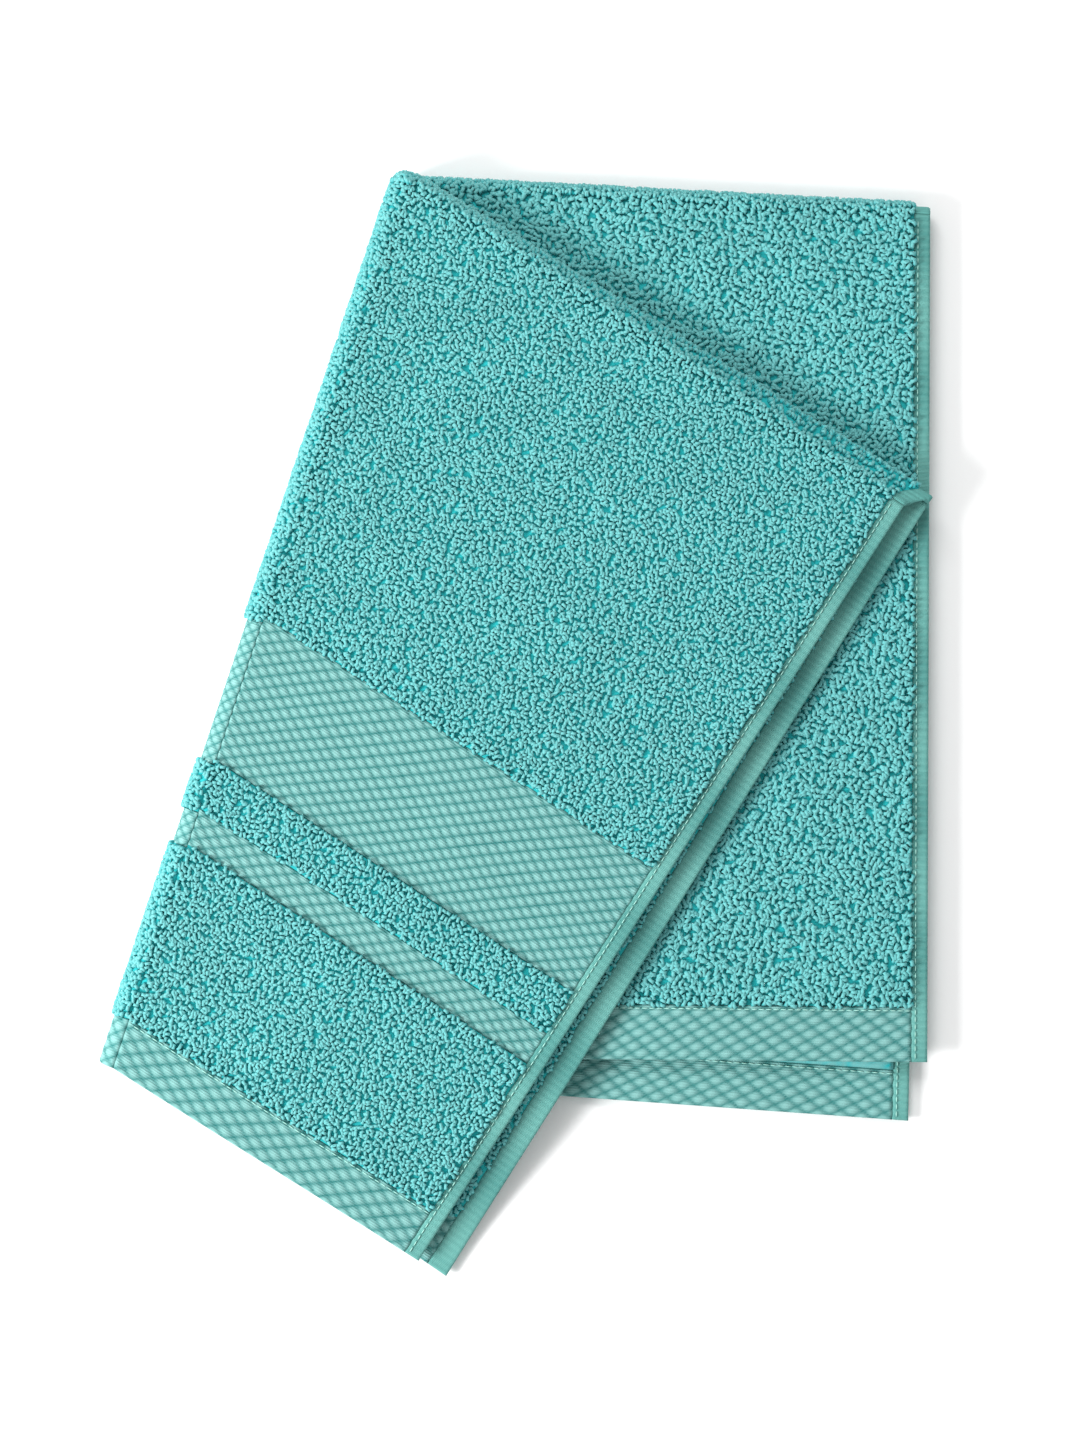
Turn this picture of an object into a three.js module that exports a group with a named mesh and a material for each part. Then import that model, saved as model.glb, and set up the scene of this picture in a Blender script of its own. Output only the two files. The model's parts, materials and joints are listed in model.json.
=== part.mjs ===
// A terry hand towel folded twice: first crosswise along its top edge, then lengthwise along
// the slanted left edge, so that a flap of two layers lies over a back of two layers.
// Millimetres, +Z up. The origin is the centre of the footprint, on the surface it lies on.
import * as THREE from 'three';

// ---- driving dimensions ----
// Plan of the back, from the corner where both folds meet
const BACK_TOP_WIDTH = 207;        // that corner to the free side, along the crosswise fold
const BACK_LENGTH = 349;           // free side of the back, mean of its two layers
const END_STAGGER = 24;            // how much longer the bordered layer is at the free side
const CROSS_FOLD_SLOPE = 3;        // degrees that the crosswise fold falls to the right
const LONG_FOLD_SLOPE = 18.5;      // degrees from -Y to the lengthwise fold
const BORDER_SIDE_TURN = 1.3;      // degrees from -Y to the bordered layer's free side
const PLAIN_SIDE_TURN = 0.2;       // the same for the plain layer
const BORDER_END_SLOPE = 4.1;      // degrees that the bordered end falls to the right
const PLAIN_END_SLOPE = 0.5;       // the same for the plain end

// Plan of the flap
const FLAP_TOP_WIDTH = 233;        // upper layer, along the crosswise fold
const FLAP_END_WIDTH = 143;        // upper layer, along its end
const FLAP_UNDER_TOP_SHOW = 8;     // how far the lower layer reaches past it, at the fold
const FLAP_UNDER_END_SHOW = 14;    // and at the end
const FLAP_UNDER_TOP_WIDTH = FLAP_TOP_WIDTH + FLAP_UNDER_TOP_SHOW;
const FLAP_UNDER_END_WIDTH = FLAP_END_WIDTH + FLAP_UNDER_END_SHOW;
const FLAP_TOP_TURN = 0.9;         // degrees that each edge has slipped from the mirrored one
const FLAP_UNDER_TOP_TURN = 2.4;
const FLAP_UNDER_END_TURN = 2.1;
const DROOP_RUN = 85;              // over which the flap sinks to the floor past the back

// Cloth
const PILE_THICKNESS = 5.7;
const BAND_THICKNESS = 2.8;
const END_HEM_THICKNESS = 3.4;
const SIDE_HEM_THICKNESS = 2.4;
const LAYER_GAP = 0.5;
const PIECE_GAP = 0.3;             // between neighbours in one layer
const HEM_TURN_GAP = 2;            // a skewed hem turns clear of the pile beside it
const FOLD_SQUEEZE = 0.65;         // how flat the lengthwise fold is pressed, 1 is round
const CROSS_SQUEEZE = 0.8;         // the same for the crosswise fold

// Zones of the bordered layer, measured from its end
const END_HEM = 20;
const BORDER_PILE = 70;
const NARROW_BAND = 14.5;
const PILE_RIDGE = 19;
const WIDE_BAND = 58.5;
const PLAIN_END_HEM = 22;
const SIDE_HEM = 6.5;
const FLAP_UNDER_SIDE_HEM = 9;

// Hem stitching
const THREAD_WIDTH = 0.8;
const THREAD_HEIGHT = 0.5;
const STITCH_INSET = 1.2;          // from the hem's inner edge

// Mesh steps
const FLAT_STEP = 45;              // longest step in a flat layer
const BENT_STEP = 11;              // and in one that droops
const ROLL_STEPS = 8;
const CORNER_STEPS = 6;
const PILE_ROWS = 3;
const HEM_ROWS = 1;
const CORNER_MARGIN = 0.06;        // radians that the corner keeps from the folds beside it

// ---- worked out from them ----
const PITCH = PILE_THICKNESS + LAYER_GAP;
const STACK = 4 * PILE_THICKNESS + 3 * LAYER_GAP;
const HINGE_HEIGHT = STACK / 2;
const BAND_ZONES = [
  { name: 'end_hem', width: END_HEM, thick: END_HEM_THICKNESS, look: 'hem' },
  { name: 'border_pile', width: BORDER_PILE, thick: PILE_THICKNESS, look: 'pile' },
  { name: 'narrow_band', width: NARROW_BAND, thick: BAND_THICKNESS, look: 'band' },
  { name: 'pile_ridge', width: PILE_RIDGE, thick: PILE_THICKNESS, look: 'pile' },
  { name: 'wide_band', width: WIDE_BAND, thick: BAND_THICKNESS, look: 'band' },
  { name: 'main_pile', width: null, thick: PILE_THICKNESS, look: 'pile' },
];
const PLAIN_ZONES = [
  { name: 'end_hem', width: PLAIN_END_HEM, thick: END_HEM_THICKNESS, look: 'hem' },
  { name: 'pile', width: null, thick: PILE_THICKNESS, look: 'pile' },
];
const LOOKS = {
  pile: new THREE.MeshStandardMaterial({ color: 0x74bcb9, roughness: 0.95, metalness: 0 }),
  band: new THREE.MeshStandardMaterial({ color: 0x7fc4bf, roughness: 0.85, metalness: 0 }),
  hem: new THREE.MeshStandardMaterial({ color: 0x76b8b2, roughness: 0.85, metalness: 0 }),
  thread: new THREE.MeshStandardMaterial({ color: 0x8fcfc8, roughness: 0.8, metalness: 0 }),
};

const towel = new THREE.Group();

// ---- plan geometry ----
function heading(degrees) {
  const angle = THREE.MathUtils.degToRad(degrees);
  return new THREE.Vector2(Math.cos(angle), Math.sin(angle));
}

function along(from, direction, distance) {
  return from.clone().addScaledVector(direction, distance);
}

// Distance from `from` along `direction` to the line through `point` along `lineDirection`.
function reach(from, direction, point, lineDirection) {
  const gap = point.clone().sub(from);
  return gap.cross(lineDirection) / direction.cross(lineDirection);
}

const CORNER = new THREE.Vector2(0, 0);
const FOLD_HEADING = -90 - LONG_FOLD_SLOPE;
const FOLD_DIRECTION = heading(FOLD_HEADING);
const FOLD_OUTWARD = heading(FOLD_HEADING - 90);
const mirrored = (degrees) => 2 * FOLD_HEADING - degrees;

const backTopRight = along(CORNER, heading(-CROSS_FOLD_SLOPE), BACK_TOP_WIDTH);

function backLayer(length, sideTurn, endSlope) {
  const endRight = along(backTopRight, heading(-90 - sideTurn), length);
  const foldLength = reach(CORNER, FOLD_DIRECTION, endRight, heading(-endSlope));
  return { foldTop: CORNER, sideTop: backTopRight, sideEnd: endRight,
    foldEnd: along(CORNER, FOLD_DIRECTION, foldLength) };
}

function flapLayer(back, topWidth, topTurn, endWidth, endSlope, endTurn) {
  const topHeading = mirrored(180 - CROSS_FOLD_SLOPE) + topTurn;
  const endHeading = mirrored(180 - endSlope) + endTurn;
  return { foldTop: CORNER, sideTop: along(CORNER, heading(topHeading), topWidth),
    foldEnd: back.foldEnd, sideEnd: along(back.foldEnd, heading(endHeading), endWidth) };
}

const backUnder = backLayer(BACK_LENGTH + END_STAGGER / 2, BORDER_SIDE_TURN, BORDER_END_SLOPE);
const backTop = backLayer(BACK_LENGTH - END_STAGGER / 2, PLAIN_SIDE_TURN, PLAIN_END_SLOPE);
const flapUnder = flapLayer(backTop, FLAP_UNDER_TOP_WIDTH, FLAP_UNDER_TOP_TURN,
  FLAP_UNDER_END_WIDTH, PLAIN_END_SLOPE, FLAP_UNDER_END_TURN);
const flapTop = flapLayer(backUnder, FLAP_TOP_WIDTH, FLAP_TOP_TURN, FLAP_END_WIDTH,
  BORDER_END_SLOPE, 0);

// How far the flap sinks at a point: nothing over the back, two layers well past its end.
function droop(point) {
  const endward = heading(-90 - PLAIN_END_SLOPE);
  const past = point.clone().sub(backTop.foldEnd).dot(endward);
  return 2 * PITCH * THREE.MathUtils.smoothstep(past, 0, DROOP_RUN);
}

// ---- solids ----
// A box whose corners and grid points go where place(u, v, n) puts them, each from 0 to 1.
function mappedSolid(name, look, steps, place) {
  const box = new THREE.BoxGeometry(1, 1, 1, ...steps);
  const position = box.attributes.position;
  for (let i = 0; i < position.count; i++) {
    const at = place(position.getX(i) + 0.5, position.getY(i) + 0.5, position.getZ(i) + 0.5);
    position.setXYZ(i, at.x, at.y, at.z);
  }
  if (signedVolume(box) < 0) turnFaces(box);
  box.computeVertexNormals();
  const mesh = new THREE.Mesh(box, LOOKS[look].clone());
  mesh.name = name;
  towel.add(mesh);
}

function signedVolume(geometry) {
  const [a, b, c] = [new THREE.Vector3(), new THREE.Vector3(), new THREE.Vector3()];
  const { position } = geometry.attributes;
  const index = geometry.index.array;
  let volume = 0;
  for (let i = 0; i < index.length; i += 3) {
    a.fromBufferAttribute(position, index[i]);
    b.fromBufferAttribute(position, index[i + 1]);
    c.fromBufferAttribute(position, index[i + 2]);
    volume += a.dot(b.cross(c)) / 6;
  }
  return volume;
}

function turnFaces(geometry) {
  const index = geometry.index.array;
  for (let i = 0; i < index.length; i += 3) {
    [index[i], index[i + 1]] = [index[i + 1], index[i]];
  }
}

// Point of a layer: inset from the free side, and a share of the way from its end to its top.
function layerPoint(layer, inset, share) {
  const side = layer.sideEnd.clone().lerp(layer.sideTop, share);
  const fold = layer.foldEnd.clone().lerp(layer.foldTop, share);
  return side.clone().addScaledVector(fold.sub(side).normalize(), inset);
}

function layerWidth(layer, share) {
  const side = layer.sideEnd.clone().lerp(layer.sideTop, share);
  return side.distanceTo(layer.foldEnd.clone().lerp(layer.foldTop, share));
}

// The zones as shares of the layer's free side, each short of its neighbour by a gap.
function zoneShares(layer, zones) {
  const length = layer.sideEnd.distanceTo(layer.sideTop);
  let start = 0;
  return zones.map((zone) => {
    const end = zone.width === null ? length : start + zone.width;
    const shares = { ...zone, from: start / length, to: (end - PIECE_GAP) / length,
      length: end - start };
    start = end;
    return shares;
  });
}

function level(order) {
  return order * PITCH + PILE_THICKNESS / 2;
}

// One slab of cloth in a layer, between two insets from the free side.
function slab(name, look, layer, insets, shares, thick, middle) {
  const step = layer.droops ? BENT_STEP : FLAT_STEP;
  const length = layer.plan.sideEnd.distanceTo(layer.plan.sideTop);
  const rows = Math.max(1, Math.ceil((shares.to - shares.from) * length / step));
  const across = insets[1] === null ? Math.ceil(layerWidth(layer.plan, 0) / step) : 1;
  mappedSolid(name, look, [across, rows, 1], (u, v, n) => {
    const share = THREE.MathUtils.lerp(shares.from, shares.to, v);
    const outer = insets[1] ?? layerWidth(layer.plan, share) - PIECE_GAP;
    const at = layerPoint(layer.plan, THREE.MathUtils.lerp(insets[0], outer, u), share);
    const drop = layer.droops ? droop(at) : 0;
    return new THREE.Vector3(at.x, at.y, middle - drop + (n - 0.5) * thick);
  });
}

function buildLayer(layer) {
  const shares = zoneShares(layer.plan, layer.zones);
  const middle = level(layer.order);
  for (const zone of shares) {
    slab(`${layer.name}_${zone.name}`, zone.look, layer,
      [layer.sideHem + PIECE_GAP, null], zone, zone.thick, middle);
  }
  const whole = { from: 0, to: shares.at(-1).to };
  slab(`${layer.name}_side_hem`, 'hem', layer, [0, layer.sideHem], whole,
    SIDE_HEM_THICKNESS, middle);

  // The line of stitches lies on the hem's outer face, a gap above it.
  const clear = PIECE_GAP + THREAD_HEIGHT / 2;
  const sideInset = layer.sideHem - STITCH_INSET;
  slab(`${layer.name}_side_stitch`, 'thread', layer, [sideInset - THREAD_WIDTH, sideInset],
    whole, THREAD_HEIGHT, middle + layer.face * (SIDE_HEM_THICKNESS / 2 + clear));
  const stitchEnd = shares[0].to * (1 - STITCH_INSET / shares[0].length);
  const stitch = { to: stitchEnd, from: stitchEnd * (1 - THREAD_WIDTH / shares[0].length) };
  slab(`${layer.name}_end_stitch`, 'thread', layer, [layer.sideHem + PIECE_GAP, null],
    stitch, THREAD_HEIGHT, middle + layer.face * (END_HEM_THICKNESS / 2 + clear));
}

// A half turn of cloth over a fold. It leaves the edge low(u), keeps to it up to the fold's
// middle, and comes in to the edge high(u) as it rises half a layer more.
function foldRoll(name, look, rows, low, high, outward, height, radii, squeeze) {
  mappedSolid(name, look, [rows, ROLL_STEPS, 1], (u, v, n) => {
    const turn = v * Math.PI;
    const radius = THREE.MathUtils.lerp(radii[0], radii[1], n);
    const rise = -radius * Math.cos(turn);
    const edge = low(u).lerp(high(u), THREE.MathUtils.clamp(rise / (PITCH / 2), 0, 1));
    const at = edge.addScaledVector(outward, radius * Math.sin(turn) * squeeze);
    return new THREE.Vector3(at.x, at.y, height + rise);
  });
}

function radiiAbout(middleRadius, thick) {
  return [middleRadius - thick / 2, middleRadius + thick / 2];
}

const LAYERS = [
  { name: 'back_under', plan: backUnder, zones: BAND_ZONES, order: 0, face: 1, droops: false,
    sideHem: SIDE_HEM },
  { name: 'back_top', plan: backTop, zones: PLAIN_ZONES, order: 1, face: 1, droops: false,
    sideHem: SIDE_HEM },
  { name: 'flap_under', plan: flapUnder, zones: PLAIN_ZONES, order: 2, face: -1, droops: true,
    sideHem: FLAP_UNDER_SIDE_HEM },
  { name: 'flap_top', plan: flapTop, zones: BAND_ZONES, order: 3, face: 1, droops: true,
    sideHem: SIDE_HEM },
];
LAYERS.forEach(buildLayer);

// Lengthwise fold: the bordered layer goes round the outside, the plain one inside it.
function lengthwiseFold(prefix, layer, zones, middleRadius) {
  for (const zone of zoneShares(layer, zones)) {
    const rows = Math.max(1, Math.ceil(zone.length / FLAT_STEP));
    const edge = (u) => layer.foldEnd.clone()
      .lerp(layer.foldTop, THREE.MathUtils.lerp(zone.from, zone.to, u));
    foldRoll(`${prefix}_${zone.name}`, zone.look, rows, edge, edge, FOLD_OUTWARD,
      HINGE_HEIGHT, radiiAbout(middleRadius, zone.thick), FOLD_SQUEEZE);
  }
}

lengthwiseFold('fold', backUnder, BAND_ZONES, 1.5 * PITCH);
lengthwiseFold('inner_fold', backTop, PLAIN_ZONES, 0.5 * PITCH);

// Crosswise fold of the back and of the flap, with a smaller turn at the side hem.
function crosswiseFold(name, lower, upper, height) {
  const direction = upper.plan.sideTop.clone().sub(CORNER).normalize();
  const outward = new THREE.Vector2(-direction.y, direction.x);
  const edgeOf = (layer, from, to) => (u) => layerPoint(layer.plan,
    THREE.MathUtils.lerp(from, to ?? layerWidth(layer.plan, 1) - PIECE_GAP, u), 1);
  const pieces = [
    { part: 'cross_fold', look: 'pile', from: (l) => l.sideHem + PIECE_GAP, to: () => undefined,
      thick: PILE_THICKNESS, rows: PILE_ROWS },
    { part: 'hem_turn', look: 'hem', from: () => 0, to: (l) => l.sideHem - HEM_TURN_GAP,
      thick: SIDE_HEM_THICKNESS, rows: HEM_ROWS },
  ];
  for (const piece of pieces) {
    foldRoll(`${name}_${piece.part}`, piece.look, piece.rows,
      edgeOf(lower, piece.from(lower), piece.to(lower)),
      edgeOf(upper, piece.from(upper), piece.to(upper)),
      outward, height, radiiAbout(PITCH / 2, piece.thick), CROSS_SQUEEZE);
  }
  return outward;
}

const [underBack, topBack, underFlap, topFlap] = LAYERS;
const backOutward = crosswiseFold('back', underBack, topBack, HINGE_HEIGHT - PITCH);
const flapOutward = crosswiseFold('flap', underFlap, topFlap, HINGE_HEIGHT + PITCH);

// The corner between the two folds: half of the tall fold's bulge turns into one low bulge.
function foldCorner(name, bottom, outward) {
  const start = FOLD_OUTWARD.angle();
  const sweep = start - outward.angle();
  const height = 2 * PILE_THICKNESS + LAYER_GAP;
  const core = 2 * PIECE_GAP;
  mappedSolid(name, 'pile', [CORNER_STEPS, ROLL_STEPS, 1], (u, v, n) => {
    const z = bottom + v * height;
    const tall = Math.sqrt(Math.max(0, 1 - ((z - HINGE_HEIGHT) / HINGE_HEIGHT) ** 2));
    const low = Math.sqrt(Math.max(0, 1 - (2 * v - 1) ** 2));
    const bulge = THREE.MathUtils.lerp(tall * HINGE_HEIGHT * FOLD_SQUEEZE,
      low * (height / 2) * CROSS_SQUEEZE, THREE.MathUtils.smoothstep(u, 0, 1));
    const spin = THREE.MathUtils.lerp(start - CORNER_MARGIN, start - sweep + CORNER_MARGIN, u);
    const at = new THREE.Vector2(Math.cos(spin), Math.sin(spin));
    at.multiplyScalar(core + n * Math.max(bulge, core));
    return new THREE.Vector3(at.x, at.y, z);
  });
}

foldCorner('back_corner', 0, backOutward);
foldCorner('flap_corner', 2 * PITCH, flapOutward);

// Put the centre of the footprint at the origin.
const extent = new THREE.Box3().setFromObject(towel);
const centre = extent.getCenter(new THREE.Vector3());
for (const mesh of towel.children) {
  mesh.position.set(-centre.x, -centre.y, -extent.min.z);
}

export default towel;
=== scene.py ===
"""A terry hand towel folded in four, with woven diamond bands near one end.

The cloth is worked out in millimetres in the frame's own axes and turned into metres as each
mesh is made. Every layer is a plan of four corners, and every fold is an arc over a line.
"""
import json
import logging
import math
from dataclasses import dataclass, field
from enum import Enum
from typing import Callable, Protocol

import bpy
import numpy as np
from numpy.typing import NDArray
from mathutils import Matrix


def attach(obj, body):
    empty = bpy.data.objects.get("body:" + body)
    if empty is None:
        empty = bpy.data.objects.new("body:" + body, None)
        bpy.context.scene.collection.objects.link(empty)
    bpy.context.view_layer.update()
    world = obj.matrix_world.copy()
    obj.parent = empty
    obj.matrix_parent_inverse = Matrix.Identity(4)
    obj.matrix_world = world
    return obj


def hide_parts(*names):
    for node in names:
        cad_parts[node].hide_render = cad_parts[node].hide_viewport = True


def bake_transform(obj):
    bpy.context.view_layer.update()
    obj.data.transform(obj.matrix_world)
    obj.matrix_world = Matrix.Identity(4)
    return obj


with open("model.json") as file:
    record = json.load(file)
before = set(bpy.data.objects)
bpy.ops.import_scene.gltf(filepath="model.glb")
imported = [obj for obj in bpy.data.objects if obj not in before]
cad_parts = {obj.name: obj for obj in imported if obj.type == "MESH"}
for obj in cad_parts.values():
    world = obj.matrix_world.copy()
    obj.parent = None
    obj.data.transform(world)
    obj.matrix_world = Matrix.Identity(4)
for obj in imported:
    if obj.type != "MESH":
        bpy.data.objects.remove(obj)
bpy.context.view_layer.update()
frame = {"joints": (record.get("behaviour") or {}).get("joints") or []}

Array = NDArray[np.float64]
Relief = Callable[[Array, Array], Array]
MM = 0.001
TILE_GAP = 0.1            # share of a map square left clear on each side of a loop
PRESS_HEIGHT = 0.8        # below this many millimetres the floor presses the cloth
EDGE_ROUND = 0.8          # width over which a slab's edge rounds off
COVER_MARGIN = 14.0       # how far inside the flap's outline the back is taken as covered
BUMP_REACH = 0.0003       # metres
log = logging.getLogger("towel")


class Body(Enum):
    """The two CAD bodies."""

    BACK = "back"
    FLAP = "flap"


class Slot(Enum):
    """The record's material slots."""

    PILE = "pile"
    BAND = "band"
    HEM = "hem"
    THREAD = "thread"


# ---------------------------------------------------------------- finishes
def srgb(red: int, green: int, blue: int) -> tuple[float, float, float, float]:
    """Turn an 0 to 255 display colour into the linear colour that a shader takes.

    Args:
        red, green, blue: display levels.

    Returns:
        Linear red, green, blue and an alpha of 1.
    """
    levels = np.array([red, green, blue]) / 255.0
    linear = np.where(levels <= 0.04045, levels / 12.92, ((levels + 0.055) / 1.055) ** 2.4)
    return (*(float(x) for x in linear), 1.0)


def fibre_group() -> bpy.types.NodeTree:
    """Build the shared cotton grain: patches of dye and a fine fuzz of fibre ends.

    Returns:
        A node group with inputs Patch and Fuzz (cycles a metre) and outputs Dye and Fibre.
    """
    tree = bpy.data.node_groups.new("cotton_grain", "ShaderNodeTree")
    for name, value in (("Patch", 45.0), ("Fuzz", 2600.0)):
        socket = tree.interface.new_socket(name, in_out="INPUT", socket_type="NodeSocketFloat")
        socket.default_value = value
    for name in ("Dye", "Fibre"):
        tree.interface.new_socket(name, in_out="OUTPUT", socket_type="NodeSocketFloat")
    nodes, links = tree.nodes, tree.links
    entry, leave = nodes.new("NodeGroupInput"), nodes.new("NodeGroupOutput")
    place = nodes.new("ShaderNodeTexCoord")
    for source, target, detail in (("Patch", "Dye", 3.0), ("Fuzz", "Fibre", 2.0)):
        noise = nodes.new("ShaderNodeTexNoise")
        noise.inputs["Detail"].default_value = detail
        links.new(place.outputs["Object"], noise.inputs["Vector"])
        links.new(entry.outputs[source], noise.inputs["Scale"])
        links.new(noise.outputs["Fac"], leave.inputs[target])
    return tree


@dataclass(frozen=True)
class CottonFinish:
    """One dyed cotton surface with painted shade: darker in the cloth's low places and paler on its
    crests.

    The attribute rise, from 0 in a crevice to 1 on a crest, mixes the darker colour, painted
    shade, into crest. Dye moves the result a little, and fibre drives a bump and the roughness.
    """

    name: str
    slot: Slot
    painted_shade: tuple[int, int, int]
    crest: tuple[int, int, int]
    roughness: float
    sheen: float
    fuzz: float
    bump: float
    dye: float = 0.12
    rib_pitch: float = 0.0
    rib_bump: float = 0.0

    def make(self, grain: bpy.types.NodeTree) -> bpy.types.Material:
        """Build the material.

        Args:
            grain: the shared cotton grain group.

        Returns:
            The finished material.
        """
        material = bpy.data.materials.new(self.name)
        material.use_nodes = True
        nodes, links = material.node_tree.nodes, material.node_tree.links
        shader = nodes["Principled BSDF"]
        shader.inputs["Sheen Weight"].default_value = self.sheen
        shader.inputs["Sheen Roughness"].default_value = 0.5
        shader.inputs["Specular IOR Level"].default_value = 0.15
        shader.inputs["Sheen Tint"].default_value = srgb(190, 240, 235)
        cotton = nodes.new("ShaderNodeGroup")
        cotton.node_tree = grain
        cotton.inputs["Fuzz"].default_value = self.fuzz
        rise = nodes.new("ShaderNodeAttribute")
        rise.attribute_name = "rise"
        # painted shade: the darker colour where rise is low, in crevices and at loop roots, the
        # crest colour where it is high
        depth = nodes.new("ShaderNodeMix")
        depth.data_type = "RGBA"
        factor, colour_a, colour_b, mixed = (
            depth.inputs[0], depth.inputs[6], depth.inputs[7], depth.outputs[2])
        colour_a.default_value = srgb(*self.painted_shade)
        colour_b.default_value = srgb(*self.crest)
        links.new(rise.outputs["Fac"], factor)
        spread = nodes.new("ShaderNodeMapRange")
        spread.inputs["To Min"].default_value = 1.0 - self.dye
        spread.inputs["To Max"].default_value = 1.0 + self.dye
        links.new(cotton.outputs["Dye"], spread.inputs["Value"])
        dyed = nodes.new("ShaderNodeHueSaturation")
        links.new(spread.outputs["Result"], dyed.inputs["Value"])
        links.new(mixed, dyed.inputs["Color"])
        links.new(dyed.outputs["Color"], shader.inputs["Base Color"])
        rough = nodes.new("ShaderNodeMapRange")
        rough.inputs["To Min"].default_value = self.roughness - 0.08
        rough.inputs["To Max"].default_value = min(1.0, self.roughness + 0.08)
        links.new(cotton.outputs["Fibre"], rough.inputs["Value"])
        links.new(rough.outputs["Result"], shader.inputs["Roughness"])
        bump = nodes.new("ShaderNodeBump")
        bump.inputs["Strength"].default_value = self.bump
        bump.inputs["Distance"].default_value = BUMP_REACH
        links.new(self.height(nodes, links, cotton), bump.inputs["Height"])
        links.new(bump.outputs["Normal"], shader.inputs["Normal"])
        return material

    def height(self, nodes: bpy.types.Nodes, links: bpy.types.NodeLinks,
               cotton: bpy.types.Node) -> bpy.types.NodeSocket:
        """Give the bump height: fibre alone, or fibre on ribs of thread along the weave.

        Args:
            nodes, links: the material's own.
            cotton: the placed grain group.

        Returns:
            The socket that holds the height.
        """
        if not self.rib_pitch:
            return cotton.outputs["Fibre"]
        weave = nodes.new("ShaderNodeUVMap")
        weave.uv_map = "cloth"
        ribs = nodes.new("ShaderNodeTexWave")
        ribs.bands_direction = "Y"
        ribs.inputs["Scale"].default_value = 10.0 * math.pi / self.rib_pitch
        ribs.inputs["Distortion"].default_value = 1.2
        ribs.inputs["Detail Scale"].default_value = 1.0
        links.new(weave.outputs["UV"], ribs.inputs["Vector"])
        both = nodes.new("ShaderNodeMath")
        both.operation = "MULTIPLY_ADD"
        both.inputs[1].default_value = self.rib_bump
        links.new(ribs.outputs["Fac"], both.inputs[0])
        links.new(cotton.outputs["Fibre"], both.inputs[2])
        return both.outputs["Value"]


# In each finish the first colour is painted shade for the low places (crevices and loop roots,
# grooves between lozenges, dents by stitches, thread ends); the second is the crests' colour.
TERRY = CottonFinish(
    "turquoise_terry", Slot.PILE, painted_shade=(22, 182, 188), crest=(112, 178, 177),
    roughness=0.9, sheen=0.12, fuzz=2600.0, bump=0.35)
# The ground's even colour is close to the loops' dark root teal: painted shade at the bottom of the
# pile, where it shows between loops.
GROUND = CottonFinish(
    "terry_ground", Slot.PILE, painted_shade=(28, 170, 174), crest=(50, 176, 178),
    roughness=0.95, sheen=0.05, fuzz=2200.0, bump=0.4)
DIAMOND = CottonFinish(
    "diamond_weave", Slot.BAND, painted_shade=(30, 112, 110), crest=(132, 184, 180),
    roughness=0.85, sheen=0.06, fuzz=3000.0, bump=0.5, dye=0.06, rib_pitch=0.95, rib_bump=1.6)
HEM_WEAVE = CottonFinish(
    "hem_weave", Slot.HEM, painted_shade=(62, 134, 130), crest=(116, 180, 172),
    roughness=0.88, sheen=0.05, fuzz=3000.0, bump=0.6, dye=0.08, rib_pitch=0.55, rib_bump=1.4)
SEWING = CottonFinish(
    "sewing_thread", Slot.THREAD, painted_shade=(96, 176, 168), crest=(176, 226, 214),
    roughness=0.6, sheen=0.05, fuzz=3500.0, bump=0.3)


# ---------------------------------------------------------------- meshes
@dataclass
class Quads:
    """A mesh of four-sided faces, in millimetres, with its rise and its maps."""

    points: Array
    faces: NDArray[np.int64]
    rise: Array
    uv: Array
    uv_name: str

    def to_object(self, name: str, material: bpy.types.Material) -> bpy.types.Object:
        """Make the Blender object, with faces out and smooth shading.

        Args:
            name: the piece's name.
            material: its finish.

        Returns:
            The new object at the origin.
        """
        mesh = bpy.data.meshes.new(name)
        mesh.vertices.add(len(self.points))
        mesh.vertices.foreach_set("co", (pressed(self.points) * MM).astype(np.float32).ravel())
        mesh.loops.add(self.faces.size)
        mesh.loops.foreach_set("vertex_index", self.faces.astype(np.int32).ravel())
        mesh.polygons.add(len(self.faces))
        mesh.polygons.foreach_set("loop_start", np.arange(0, self.faces.size, 4, dtype=np.int32))
        mesh.update(calc_edges=True)
        mesh.shade_smooth()
        rise = mesh.attributes.new("rise", "FLOAT", "POINT")
        rise.data.foreach_set("value", self.rise.astype(np.float32).ravel())
        layer = mesh.uv_layers.new(name=self.uv_name)
        layer.data.foreach_set("uv", self.uv.astype(np.float32).ravel())
        mesh.materials.append(material)
        piece = bpy.data.objects.new(name, mesh)
        bpy.context.scene.collection.objects.link(piece)
        return piece


def pressed(points: Array) -> Array:
    """Press points softly onto the floor: a height h under s becomes s exp((h - s) / s).

    Args:
        points: vertices in millimetres.

    Returns:
        The vertices, all above the floor.
    """
    height = points[:, 2]
    low = PRESS_HEIGHT * np.exp((np.minimum(height, PRESS_HEIGHT) - PRESS_HEIGHT) / PRESS_HEIGHT)
    return np.column_stack([points[:, :2], np.where(height < PRESS_HEIGHT, low, height)])


def facing_out(points: Array, faces: NDArray[np.int64]) -> NDArray[np.int64]:
    """Turn every face round if the closed mesh encloses a negative volume.

    Args:
        points: vertices.
        faces: four corners each.

    Returns:
        The faces, turned where needed.
    """
    a, b, c, d = (points[faces[:, k]] for k in range(4))
    volume = np.einsum("ij,ij->", a, np.cross(b, c)) + np.einsum("ij,ij->", a, np.cross(c, d))
    return faces[:, ::-1] if volume < 0 else faces


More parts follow.
